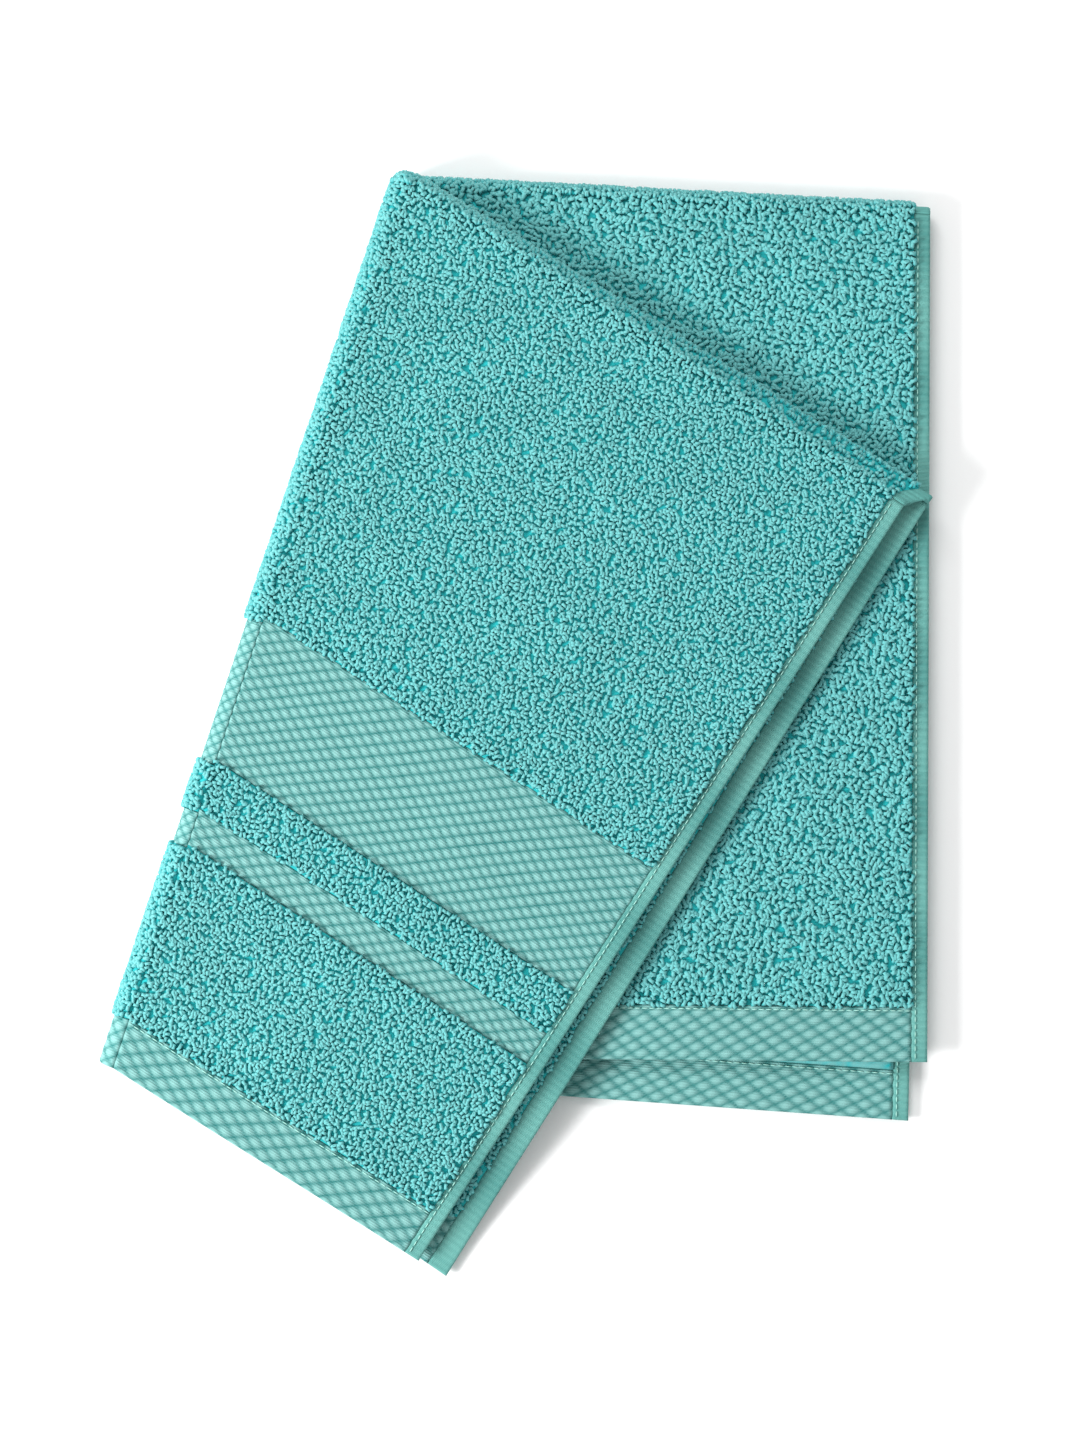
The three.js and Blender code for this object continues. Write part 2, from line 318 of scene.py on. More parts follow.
def closed_grid(top: Array, under: Array, rise_top: Array, rise_under: Array,
                weave: Array) -> Quads:
    """Close a top grid and an under grid of the same shape with four walls between them.

    Args:
        top, under: grids of points, rows by columns by three.
        rise_top, rise_under: the rise at each point, rows by columns.
        weave: the cloth's own two coordinates at each point, in millimetres.

    Returns:
        The closed mesh, with a map named cloth in tenths of a metre.
    """
    rows, columns = top.shape[:2]
    number = np.arange(rows * columns).reshape(rows, columns)
    upper = np.stack([number[:-1, :-1], number[:-1, 1:], number[1:, 1:], number[1:, :-1]], -1)
    upper = upper.reshape(-1, 4)
    below = rows * columns
    rim = np.concatenate([number[0, :-1], number[:-1, -1], number[-1, :0:-1], number[:0:-1, 0]])
    onward = np.roll(rim, -1)
    walls = np.stack([onward, rim, rim + below, onward + below], -1)
    faces = np.concatenate([upper, upper[:, ::-1] + below, walls])
    points = np.concatenate([top.reshape(-1, 3), under.reshape(-1, 3)])
    rise = np.concatenate([rise_top.ravel(), rise_under.ravel()])
    faces = facing_out(points, faces)
    place = np.concatenate([weave.reshape(-1, 2)] * 2)
    return Quads(points, faces, rise, place[faces] / 100.0, "cloth")


# ---------------------------------------------------------------- reliefs
def plain(across: Array, along: Array) -> Array:
    """Level cloth: the rise is 0.5 everywhere."""
    return np.full(np.broadcast(across, along).shape, 0.5)


def diamonds(width: float, height: float) -> Relief:
    """Puffed lozenges: the fourth root of the product of two slanted sines.

    With a = across / width + along / height and b = across / width - along / height, the rise
    is |sin(pi a) sin(pi b)| to a small power, so cells are nearly flat and valleys narrow.

    Args:
        width, height: a lozenge's two diagonals.

    Returns:
        The relief.
    """

    def rise(across: Array, along: Array) -> Array:
        """Rise of the lozenges at each point."""
        wander = 0.05 * np.sin(across / 17.0) + 0.04 * np.sin(along / 7.0 + across / 29.0)
        first = across / width + along / height + wander
        second = across / width - along / height + wander
        return np.abs(np.sin(np.pi * first) * np.sin(np.pi * second)) ** 0.55

    return rise


def terry_lumps(pitch: float) -> Relief:
    """Cobbled loops: one less the squared distance to the nearest of scattered points.

    Each square of side pitch holds one point, moved by a hash of the square's own numbers.

    Args:
        pitch: mean spacing of the loops.

    Returns:
        The relief.
    """

    def rise(across: Array, along: Array) -> Array:
        """Rise of the cobbles at each point."""
        u, v = across / pitch, along / pitch
        nearest = np.full(np.broadcast(u, v).shape, 9.0)
        for i in (-1, 0, 1):
            for j in (-1, 0, 1):
                cell_u, cell_v = np.floor(u) + i, np.floor(v) + j
                hashed = np.sin(cell_u * 127.1 + cell_v * 311.7) * 43758.5453
                other = np.sin(cell_u * 269.5 + cell_v * 183.3) * 24634.6345
                du = cell_u + 0.5 + 0.42 * (2 * (hashed % 1) - 1) - u
                dv = cell_v + 0.5 + 0.42 * (2 * (other % 1) - 1) - v
                nearest = np.minimum(nearest, du * du + dv * dv)
        return np.clip(1.0 - 1.1 * nearest, 0.0, 1.0)

    return rise


# ---------------------------------------------------------------- cloth patches
class Patch(Protocol):
    """A stretch of cloth: places by inset and distance, both in millimetres."""

    rows: tuple[float, float]

    def span(self, along: Array) -> tuple[Array, Array]:
        """Least and greatest inset at each distance."""

    def at(self, inset: Array, along: Array, lift: Array) -> Array:
        """Points on the cloth's middle surface, moved out along the normal by lift."""

    def normal(self, inset: Array, along: Array) -> Array:
        """Outward unit normals."""

    def weave(self, inset: Array, along: Array) -> Array:
        """The cloth's own two coordinates, continuous over the folds."""


def unit(vectors: Array) -> Array:
    """Scale vectors along the last axis to length one."""
    return vectors / np.maximum(np.linalg.norm(vectors, axis=-1, keepdims=True), 1e-9)


def heading(degrees: float) -> Array:
    """Unit plan vector at an angle from +X."""
    angle = math.radians(degrees)
    return np.array([math.cos(angle), math.sin(angle)])


def cross2(a: Array, b: Array) -> float:
    """The one number of a cross product in the plan."""
    return float(a[0] * b[1] - a[1] * b[0])


@dataclass
class Layer:
    """One flat layer of cloth, given by its four corners in plan."""

    name: str
    body: Body
    order: int
    fold_top: Array
    side_top: Array
    side_end: Array
    fold_end: Array
    side_hem: float
    plan: "Plan"

    @property
    def length(self) -> float:
        """Length of the free side."""
        return float(np.linalg.norm(self.side_top - self.side_end))

    @property
    def middle(self) -> float:
        """Height of the layer's middle."""
        return self.order * self.plan.pitch + self.plan.pile / 2

    def edges(self, along: Array) -> tuple[Array, Array]:
        """Points on the free side and on the fold, at a distance from the layer's end."""
        share = np.asarray(along)[..., None] / self.length
        side = self.side_end + (self.side_top - self.side_end) * share
        return side, self.fold_end + (self.fold_top - self.fold_end) * share

    def width(self, along: Array) -> Array:
        """Width from the free side to the fold."""
        side, fold = self.edges(along)
        return np.linalg.norm(fold - side, axis=-1)

    def place(self, inset: Array, along: Array, lift: Array) -> Array:
        """Point of the layer: in from the free side, up from the end, sunk by the droop."""
        side, fold = self.edges(along)
        flat = side + unit(fold - side) * np.asarray(inset)[..., None]
        drop = self.plan.droop(flat) if self.body is Body.FLAP else 0.0
        return np.concatenate([flat, (self.middle - drop + lift)[..., None]], -1)


@dataclass
class FlatPatch:
    """Part of a layer between two distances from its end. face is 1 for up, -1 for down."""

    layer: Layer
    rows: tuple[float, float]
    inset: float
    width: float = math.inf
    face: int = 1

    def span(self, along: Array) -> tuple[Array, Array]:
        """Least and greatest inset at each distance."""
        low = np.full(np.shape(along), self.inset)
        return low, np.minimum(self.layer.width(along), self.inset + self.width)

    def at(self, inset: Array, along: Array, lift: Array) -> Array:
        """Points on the layer, lifted out of the face."""
        return self.layer.place(inset, along, self.face * lift)

    def normal(self, inset: Array, along: Array) -> Array:
        """Straight up or down."""
        up = np.zeros((*np.broadcast(inset, along).shape, 3))
        up[..., 2] = self.face
        return up

    def weave(self, inset: Array, along: Array) -> Array:
        """Distance from the fold, and from the end."""
        return np.stack(np.broadcast_arrays(inset - self.layer.width(along), along), -1)


@dataclass
class LongFoldPatch:
    """Part of the lengthwise fold: an ellipse over the hinge line, from underside to top."""

    layer: Layer
    rows: tuple[float, float]
    radius: float

    @property
    def arc(self) -> float:
        """Length round the half ellipse, taken as pi times its mean radius."""
        return math.pi * self.radius * (1 + self.layer.plan.squeeze) / 2

    def span(self, along: Array) -> tuple[Array, Array]:
        """From nothing to the whole arc."""
        return np.zeros(np.shape(along)), np.full(np.shape(along), self.arc)

    def turn(self, inset: Array) -> Array:
        """Angle round the fold, from 0 underneath to pi on top."""
        return np.pi * np.asarray(inset) / self.arc

    def at(self, inset: Array, along: Array, lift: Array) -> Array:
        """edge + outward * radius * sin(turn) * squeeze, at hinge - radius * cos(turn)."""
        plan, turn = self.layer.plan, self.turn(inset)
        reach = self.radius + lift
        edge = self.layer.edges(along)[1]
        flat = edge + plan.outward * (reach * np.sin(turn) * plan.squeeze)[..., None]
        return np.concatenate([flat, (plan.hinge - reach * np.cos(turn))[..., None]], -1)

    def normal(self, inset: Array, along: Array) -> Array:
        """The ellipse's own outward normal."""
        turn = self.turn(inset) + 0 * along
        flat = self.layer.plan.outward * (np.sin(turn) / self.layer.plan.squeeze)[..., None]
        return unit(np.concatenate([flat, -np.cos(turn)[..., None]], -1))

    def weave(self, inset: Array, along: Array) -> Array:
        """Distance past the fold's upper edge, and from the end."""
        return np.stack(np.broadcast_arrays(self.arc - inset, along), -1)


@dataclass
class CrossFoldPatch:
    """Part of a crosswise fold between two layers. inset goes round it, along follows it."""

    lower: Layer
    upper: Layer
    rows: tuple[float, float]

    @property
    def arc(self) -> float:
        """Length round the half turn."""
        plan = self.lower.plan
        return math.pi * (plan.pitch / 2) * (1 + plan.cross_squeeze) / 2

    def span(self, along: Array) -> tuple[Array, Array]:
        """From nothing to the whole arc."""
        return np.zeros(np.shape(along)), np.full(np.shape(along), self.arc)

    def at(self, inset: Array, along: Array, lift: Array) -> Array:
        """A half turn about the lower edge that moves over to the upper one as it rises."""
        plan, turn = self.lower.plan, np.pi * np.asarray(inset) / self.arc
        reach = plan.pitch / 2 + lift
        rise = -reach * np.cos(turn)
        low = self.edge(self.lower, along)
        high = self.edge(self.upper, along)
        share = np.clip(rise / (plan.pitch / 2), 0, 1)[..., None]
        flat = low + (high - low) * share
        flat = flat + self.outward * (reach * np.sin(turn) * plan.cross_squeeze)[..., None]
        height = (self.lower.middle + self.upper.middle) / 2
        return np.concatenate([flat, (height + rise)[..., None]], -1)

    @property
    def outward(self) -> Array:
        """Plan vector away from the layers, square to the upper edge."""
        run = unit(self.upper.side_top - self.upper.fold_top)
        return np.array([-run[1], run[0]])

    def edge(self, layer: Layer, along: Array) -> Array:
        """Point of the layer's top edge, a share of the way from the free side."""
        share = (np.asarray(along) / self.length)[..., None]
        return layer.side_top + (layer.fold_top - layer.side_top) * share

    @property
    def length(self) -> float:
        """Length of the upper edge."""
        return float(np.linalg.norm(self.upper.side_top - self.upper.fold_top))

    def normal(self, inset: Array, along: Array) -> Array:
        """The half turn's outward normal."""
        turn = np.pi * np.asarray(inset) / self.arc + 0 * along
        flat = self.outward * np.sin(turn)[..., None]
        return unit(np.concatenate([flat, -np.cos(turn)[..., None]], -1))

    def weave(self, inset: Array, along: Array) -> Array:
        """Round the fold and along it."""
        return np.stack(np.broadcast_arrays(along, inset), -1)


@dataclass
class CornerPatch:
    """The wedge of cloth where both folds meet: a bulge swept about the corner.

    along runs up the corner and inset round it. The tall fold's ellipse turns into the low
    fold's as the sweep goes on.
    """

    layer: Layer
    upper: Layer
    outward: Array
    rows: tuple[float, float] = (0.0, 1.0)
    map_radius: float = 6.0
    least_reach: float = 0.3
    tip: float = 1.4

    def __post_init__(self) -> None:
        """Fix the rows to the height of two layers."""
        plan = self.layer.plan
        self.rows = (0.0, plan.pitch + plan.pile)
        self.start = math.atan2(plan.outward[1], plan.outward[0])
        self.sweep = self.start - math.atan2(self.outward[1], self.outward[0])
        self.arc = self.sweep * self.map_radius

    def span(self, along: Array) -> tuple[Array, Array]:
        """From nothing to the whole sweep."""
        return np.zeros(np.shape(along)), np.full(np.shape(along), self.arc)

    def bulge(self, inset: Array, along: Array) -> Array:
        """Radius of the corner, which mixes the two ellipses by a smooth step."""
        plan, tall_half = self.layer.plan, self.layer.plan.hinge
        height = self.layer.middle - plan.pile / 2 + along
        tall = np.sqrt(np.maximum(0, 1 - ((height - tall_half) / tall_half) ** 2))
        low = np.sqrt(np.maximum(0, 1 - (2 * along / self.rows[1] - 1) ** 2))
        share = np.clip(inset / self.arc, 0, 1)
        share = share * share * (3 - 2 * share)
        reach = tall * tall_half * plan.squeeze * (1 - share)
        return reach + low * self.rows[1] / 2 * plan.cross_squeeze * share

    def at(self, inset: Array, along: Array, lift: Array) -> Array:
        """corner + spin * (bulge + lift), at the layer's underside plus along."""
        plan = self.layer.plan
        flat = self.layer.fold_top + self.spin(inset, along)[..., :2] * (
            np.maximum(self.bulge(inset, along) - plan.pile / 2 + lift, self.least_reach))[..., None]
        height = self.layer.middle - plan.pile / 2 + along + 0 * inset
        return np.concatenate([flat, height[..., None]], -1)

    def spin(self, inset: Array, along: Array) -> Array:
        """Level unit vector away from the corner at each point."""
        angle = self.start - self.sweep * inset / self.arc + 0 * along
        return np.stack([np.cos(angle), np.sin(angle), 0 * angle], -1)

    def normal(self, inset: Array, along: Array) -> Array:
        """Level in the middle, tipped up and down towards the ends."""
        tip = self.tip * (2 * along / self.rows[1] - 1) + 0 * inset
        out = self.spin(inset, along)
        out[..., 2] = tip
        return unit(out)

    def weave(self, inset: Array, along: Array) -> Array:
        """Round the corner and up it."""
        return np.stack(np.broadcast_arrays(inset, along), -1)


@dataclass
class Plan:
    """The folded towel's plan, in millimetres, with the corner of both folds from the frame."""

    corner: Array
    back_top_width: float = 207.0
    back_length: float = 349.0
    end_stagger: float = 24.0
    cross_slope: float = 3.0
    long_slope: float = 18.5
    border_side_turn: float = 1.3
    plain_side_turn: float = 0.2
    border_end_slope: float = 4.1
    plain_end_slope: float = 0.5
    flap_widths: tuple[float, float] = (233.0, 143.0)
    flap_under_widths: tuple[float, float] = (241.0, 157.0)
    flap_turns: tuple[float, float] = (0.9, 0.0)
    flap_under_turns: tuple[float, float] = (2.4, 2.1)
    droop_run: float = 85.0
    pile: float = 5.7
    gap: float = 0.5
    squeeze: float = 0.65
    cross_squeeze: float = 0.8
    side_hem: float = 6.5
    flap_under_hem: float = 9.0
    layers: dict[str, Layer] = field(default_factory=dict)

    @property
    def pitch(self) -> float:
        """Height from one layer to the next."""
        return self.pile + self.gap

    @property
    def hinge(self) -> float:
        """Height of the lengthwise fold's axis."""
        return (4 * self.pile + 3 * self.gap) / 2

    @property
    def outward(self) -> Array:
        """Plan vector out of the lengthwise fold."""
        return heading(-180 - self.long_slope)

    def __post_init__(self) -> None:
        """Work out the four layers from the sizes."""
        fold = -90 - self.long_slope
        top_right = self.corner + heading(-self.cross_slope) * self.back_top_width
        half = self.end_stagger / 2
        ends = {}
        for name, length, turn, slope, order in (
                ("back_under", self.back_length + half, self.border_side_turn,
                 self.border_end_slope, 0),
                ("back_top", self.back_length - half, self.plain_side_turn,
                 self.plain_end_slope, 1)):
            end = top_right + heading(-90 - turn) * length
            run = cross2(end - self.corner, heading(-slope))
            run /= cross2(heading(fold), heading(-slope))
            ends[name] = self.corner + heading(fold) * run
            self.layers[name] = Layer(name, Body.BACK, order, self.corner, top_right, end,
                                      ends[name], self.side_hem, self)
        for name, source, widths, turns, slope, order, hem in (
                ("flap_under", "back_top", self.flap_under_widths, self.flap_under_turns,
                 self.plain_end_slope, 2, self.flap_under_hem),
                ("flap_top", "back_under", self.flap_widths, self.flap_turns,
                 self.border_end_slope, 3, self.side_hem)):
            top = heading(2 * fold - 180 + self.cross_slope + turns[0])
            end = heading(2 * fold - 180 + slope + turns[1])
            self.layers[name] = Layer(name, Body.FLAP, order, self.corner,
                                      self.corner + top * widths[0],
                                      ends[source] + end * widths[1], ends[source], hem, self)

    def droop(self, flat: Array) -> Array:
        """How far the flap sinks: a smooth step to two layers past the back's end."""
        back = self.layers["back_top"]
        past = (flat - back.fold_end) @ heading(-90 - self.plain_end_slope)
        share = np.clip(past / self.droop_run, 0, 1)
        return 2 * self.pitch * share * share * (3 - 2 * share)


# ---------------------------------------------------------------- loops and stitches
@dataclass(frozen=True)
class LoopStyle:
    """One kind of terry loop, in millimetres."""

    pitch: float
    half_span: float
    height: float
    yarn: float
    lean: float
    rings: int = 6
    sides: int = 4


SMALL_LOOPS = LoopStyle(pitch=1.75, half_span=0.82, height=1.75, yarn=0.86, lean=0.6, rings=4)
LARGE_LOOPS = LoopStyle(pitch=2.0, half_span=1.1, height=1.85, yarn=1.06, lean=1.0, rings=4)
FOLD_LOOPS = LoopStyle(pitch=1.3, half_span=0.8, height=1.9, yarn=0.82, lean=0.5, rings=5)
HIDDEN_LOOPS = LoopStyle(pitch=2.9, half_span=1.4, height=1.85, yarn=1.12, lean=1.0, rings=4)
GROUND_HALF = 1.35        # half the thickness of the ground that the loops stand in
ROOT_DEPTH = 0.35         # how far a loop's foot is sunk in the ground
ROW_SHARE = 0.87          # rows stand this share of the pitch apart
LOOPS_PER_MESH = 4300


def arched_tubes(base: Array, normal: Array, run: Array, half_span: Array, height: Array,
                 lean: Array, yarn: Array, rings: int, sides: int) -> Quads:
    """Stand one arched tube on every base point.

    With t from 0 to 1 and p = pi t, a tube's middle is base - run * half_span * cos(p)
    + normal * height * sin(p) + across * lean * sin(p) squared, and its radius swells by a
    quarter towards the crest.

    Args:
        base, normal, run: a point and two unit vectors for each loop.
        half_span, height, lean, yarn: one size for each loop.
        rings, sides: how many rings of how many points.

    Returns:
        All the tubes as one set of closed bodies, with a small square of the map for each.
    """
    count = len(base)
    across = unit(np.cross(normal, run))
    phase = np.linspace(0, np.pi, rings)
    cosine, sine = np.cos(phase)[None, :, None], np.sin(phase)[None, :, None]

    def each(size: Array) -> Array:
        """One number a loop, shaped to multiply rings of vectors."""
        return size[:, None, None]

    run_, normal_, across_ = run[:, None], normal[:, None], across[:, None]
    middle = base[:, None] - run_ * each(half_span) * cosine + normal_ * each(height) * sine
    middle = middle + across_ * each(lean) * sine**2
    tangent = run_ * each(half_span) * sine + normal_ * each(height) * cosine
    tangent = unit(tangent + across_ * each(lean) * 2 * sine * cosine)
    side = unit(across_ - tangent * np.sum(across_ * tangent, -1, keepdims=True))
    other = np.cross(tangent, side)
    angle = (np.arange(sides) + 0.5) * 2 * np.pi / sides
    ring = (side[:, :, None] * np.cos(angle)[None, None, :, None]
            + other[:, :, None] * np.sin(angle)[None, None, :, None])
    radius = each(yarn)[..., None] * (0.75 + 0.25 * sine[..., None])
    points = middle[:, :, None] + ring * radius
    # painted shade: rise runs from 0 at a loop's feet to 1 at its crown, so the feet take the darker
    # colour
    rise = np.broadcast_to(np.sin(phase)[None, :, None] ** 1.2, points.shape[:3])

    k, m = np.meshgrid(np.arange(rings - 1), np.arange(sides), indexing="ij")
    k, m = k.ravel(), m.ravel()
    after = (m + 1) % sides
    tube = np.stack([k * sides + m, k * sides + after, (k + 1) * sides + after,
                     (k + 1) * sides + m], -1)
    last = (rings - 1) * sides
    caps = np.array([[3, 2, 1, 0], [last, last + 1, last + 2, last + 3]])
    one = np.concatenate([tube, caps])
    faces = (one[None] + (np.arange(count) * rings * sides)[:, None, None]).reshape(-1, 4)

    tube_u = np.stack([k, k, k + 1, k + 1], -1) / rings
    tube_v = np.stack([m, m + 1, m + 1, m], -1) / sides
    cap_u = np.array([[1, 1, 1, 1], [1, 1, 1, 1]]) - 0.08 * np.array([[0, 0, 1, 1]] * 2)
    cap_v = np.array([[0, 0.3, 0.3, 0], [0.6, 0.9, 0.9, 0.6]])
    cell = np.stack([np.concatenate([tube_u, cap_u]), np.concatenate([tube_v, cap_v])], -1)
    side_count = math.ceil(math.sqrt(count))
    grid = np.stack([np.arange(count) % side_count, np.arange(count) // side_count], -1)
    uv = (grid[:, None, None] + TILE_GAP + cell[None] * (1 - 2 * TILE_GAP)) / side_count
    flat = points.reshape(-1, 3)
    one_body = rings * sides
    faces = faces if np.array_equal(facing_out(flat[:one_body], one), one) else faces[:, ::-1]
    uv = uv.reshape(-1, 4, 2)
    return Quads(flat, faces, rise.reshape(-1), uv, "OFBake")


def scattered(patch: Patch, pitch: float, rng: np.random.Generator) -> tuple[Array, Array]:
    """Spread points over a patch in staggered rows, each moved a little at random.

    Args:
        patch: the cloth.
        pitch: spacing of rows and of points in a row.
        rng: the seeded source of the moves.

    Returns:
        Insets and distances.
    """
    low, high = patch.rows
    row_count = max(1, round((high - low) / (pitch * ROW_SHARE)))
    along = low + (np.arange(row_count) + 0.5) * (high - low) / row_count
    first, last = patch.span(along)
    columns = int(np.ceil(np.max(last - first) / pitch)) + 1
    inset, along_ = np.meshgrid(np.arange(columns) * pitch, along)
    inset = inset + first[:, None] + (np.arange(row_count) % 2)[:, None] * pitch / 2
    inset = inset + rng.uniform(-0.42, 0.42, inset.shape) * pitch
    along_ = along_ + rng.uniform(-0.4, 0.4, inset.shape) * pitch
    keep = (inset > first[:, None] + 0.1) & (inset < last[:, None] - 0.1)
    keep &= (along_ > low - 0.1) & (along_ < high + 0.1)
    return inset[keep], along_[keep]


def terry_loops(patch: Patch, style: LoopStyle, seed: int,
                wanted: Callable[[Array], Array] | None = None) -> list[Quads]:
    """Cover a patch with loops, in meshes of at most LOOPS_PER_MESH loops.

    Height, span, lean and direction vary from loop to loop, and height also follows slow
    waves of the cloth, so that the pile lies in soft clumps.

    Args:
        patch: the cloth.
        style: the kind of loop.
        seed: seed of the random moves.
        wanted: says of plan points which ones get a loop, or None for all.

    Returns:
        The loop meshes.
    """
    rng = np.random.default_rng(seed)
    inset, along = scattered(patch, style.pitch, rng)
    base = patch.at(inset, along, np.full(inset.shape, GROUND_HALF - ROOT_DEPTH))
    normal = patch.normal(inset, along)
    if wanted is not None:
        chosen = wanted(base[:, :2])
        base, normal = base[chosen], normal[chosen]
    count = len(base)
    clump = np.sin(base[:, 0] / 3.1 + np.sin(base[:, 1] / 4.3) * 1.7)
    clump = clump * np.sin(base[:, 1] / 2.7 + np.sin(base[:, 0] / 5.1) * 1.9)
    spin = rng.uniform(0, 2 * np.pi, count)
    helper = np.where(np.abs(normal[:, :1]) > 0.8, [[0.0, 1.0, 0.0]], [[1.0, 0.0, 0.0]])
    first = unit(np.cross(normal, helper))
    second = np.cross(normal, first)
    run = first * np.cos(spin)[:, None] + second * np.sin(spin)[:, None]
    spread = rng.uniform(0.72, 1.3, (4, count))
    height = style.height * (0.86 + 0.12 * clump) * (0.75 + 0.25 * spread[0])
    lean = style.lean * rng.choice([-1.0, 1.0], count) * spread[2]
    yarn = style.yarn * (0.85 + 0.15 * spread[3])
    sizes = (style.half_span * spread[1], height, lean, yarn)
    pieces = max(1, math.ceil(count / LOOPS_PER_MESH))
    return [arched_tubes(base[part], normal[part], run[part], *(s[part] for s in sizes),
                         style.rings, style.sides)
            for part in np.array_split(np.arange(count), pieces)]


def lock_stitches(line: Array, normal: Array, pitch: float) -> Quads:
    """Lay a row of stitches on a line: low arches end to end, each short of the next.

    Args:
        line: points along the seam, evenly spaced and close.
        normal: unit normals there.
        pitch: length of one stitch with its gap.

    Returns:
        The stitches as one mesh.
    """
    steps = np.linalg.norm(np.diff(line, axis=0), axis=1)
    run_length = np.concatenate([[0.0], np.cumsum(steps)])
    count = int(run_length[-1] // pitch)
    middle = (np.arange(count) + 0.5) * pitch
    base = np.stack([np.interp(middle, run_length, line[:, i]) for i in range(3)], -1)
    ahead = np.stack([np.interp(middle + 0.4, run_length, line[:, i]) for i in range(3)], -1)
    up = np.stack([np.interp(middle, run_length, normal[:, i]) for i in range(3)], -1)
    whole = np.ones(count)
    run = unit(ahead - base)
    return arched_tubes(base, unit(up), run, whole * pitch * 0.4, whole * 0.28, whole * 0.0,
                        whole * 0.22, 5, 4)


# ---------------------------------------------------------------- the towel
@dataclass(frozen=True)
class Zone:
    """A strip across the bordered or the plain layer, measured from its end."""

    name: str
    width: float
    half: float
    finish: CottonFinish


@dataclass
class Cloth:
    """Places finished pieces on their bodies, in place of their CAD nodes."""

    materials: dict[str, bpy.types.Material]
    plan: Plan
    made: dict[str, bpy.types.Object] = field(default_factory=dict)
    sheets: dict[str, tuple[float, float]] = field(default_factory=dict)

    def add(self, name: str, quads: Quads, finish: CottonFinish, body: Body | None,
            *nodes: str) -> bpy.types.Object:
        """Make a piece, dress it, and ride it on a body or leave it in place on neither body.

        Args:
            name: the piece's name.
            quads: its mesh.
            finish: its finish.
            body: the body that it rides on, or None to leave it on neither body.
            nodes: CAD nodes that it stands for.

        Returns:
            The piece.
        """
        label = f"{name}_cloth" if nodes else name
        piece = quads.to_object(label, self.materials[finish.name])
        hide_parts(*nodes)
        if body is None:
            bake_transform(piece)
        else:
            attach(piece, body.value)
        self.made[name] = piece
        log.info("%s: %d faces", label, len(quads.faces))
        return piece

    def note_sheet(self, name: str, patch: Patch) -> None:
        """Keep a patch's flat width and length, in metres.

        Args:
            name: the piece's name.
            patch: its cloth.
        """
        along = np.linspace(*patch.rows, 50)
        first, last = patch.span(along)
        length = float(patch.rows[1] - patch.rows[0])
        self.sheets[name] = (float(np.mean(last - first)) * MM, length * MM)

    def slab(self, patch: Patch, half: float, step: tuple[float, float], relief: Relief,
             depth: float, under: Relief | None = None) -> Quads:
        """A closed slab over a patch: relief on its face, and a plain or a pressed back.

        Args:
            patch: the cloth.
            half: half the thickness at the crests.
            step: greatest step across and along.
            relief: the face's rise, from 0 to 1.
            depth: how far a valley lies below a crest.
            under: the back's rise, or None for the same as the face.

        Returns:
            The closed mesh.
        """
        low, high = patch.rows
        along = np.linspace(low, high, max(2, math.ceil((high - low) / step[1]) + 1))
        first, last = patch.span(along)
        count = max(2, math.ceil(float(np.max(last - first)) / step[0]) + 1)
        share = np.linspace(0, 1, count)[None]
        inset = first[:, None] + (last - first)[:, None] * share
        along = np.broadcast_to(along[:, None], inset.shape)
        weave = patch.weave(inset, along)
        # rise also sets the colour: painted shade in the relief's low places (grooves between
        # lozenges, dents by stitches, gaps between cobbles)
        rise = relief(weave[..., 0], weave[..., 1])
        back = (under or relief)(weave[..., 0] + 3.3, weave[..., 1] + 1.7)
        margin = np.minimum(np.minimum(inset - first[:, None], last[:, None] - inset),
                            np.minimum(along - low, high - along))
        round_off = np.sqrt(np.clip(margin / EDGE_ROUND, 0.0, 1.0)) * 0.45 + 0.55
        top = patch.at(inset, along, (half - depth * (1 - rise)) * round_off)
        below = patch.at(inset, along, (-half + depth * (1 - back)) * round_off)
        return closed_grid(top, below, rise, back, weave)


DIAMOND_SIZE = (7.0, 4.6)
END_DIAMOND_SIZE = (8.6, 5.4)
BORDER = (Zone("end_hem", 20.0, 1.7, DIAMOND), Zone("border_pile", 70.0, 2.85, TERRY),
          Zone("narrow_band", 14.5, 1.4, DIAMOND), Zone("pile_ridge", 19.0, 2.85, TERRY),
          Zone("wide_band", 58.5, 1.4, DIAMOND), Zone("main_pile", math.inf, 2.85, TERRY))
PLAIN = (Zone("end_hem", 22.0, 1.7, DIAMOND), Zone("pile", math.inf, 2.85, TERRY))
FINE, HEM_STEP, COARSE = (0.7, 0.5), (0.9, 0.7), (2.0, 1.6)


def weave_of(zone: Zone) -> tuple[tuple[float, float], tuple[float, float]]:
    """The lozenge size of a woven zone, and its mesh step."""
    if zone.name == "end_hem":
        return END_DIAMOND_SIZE, HEM_STEP
    return DIAMOND_SIZE, FINE


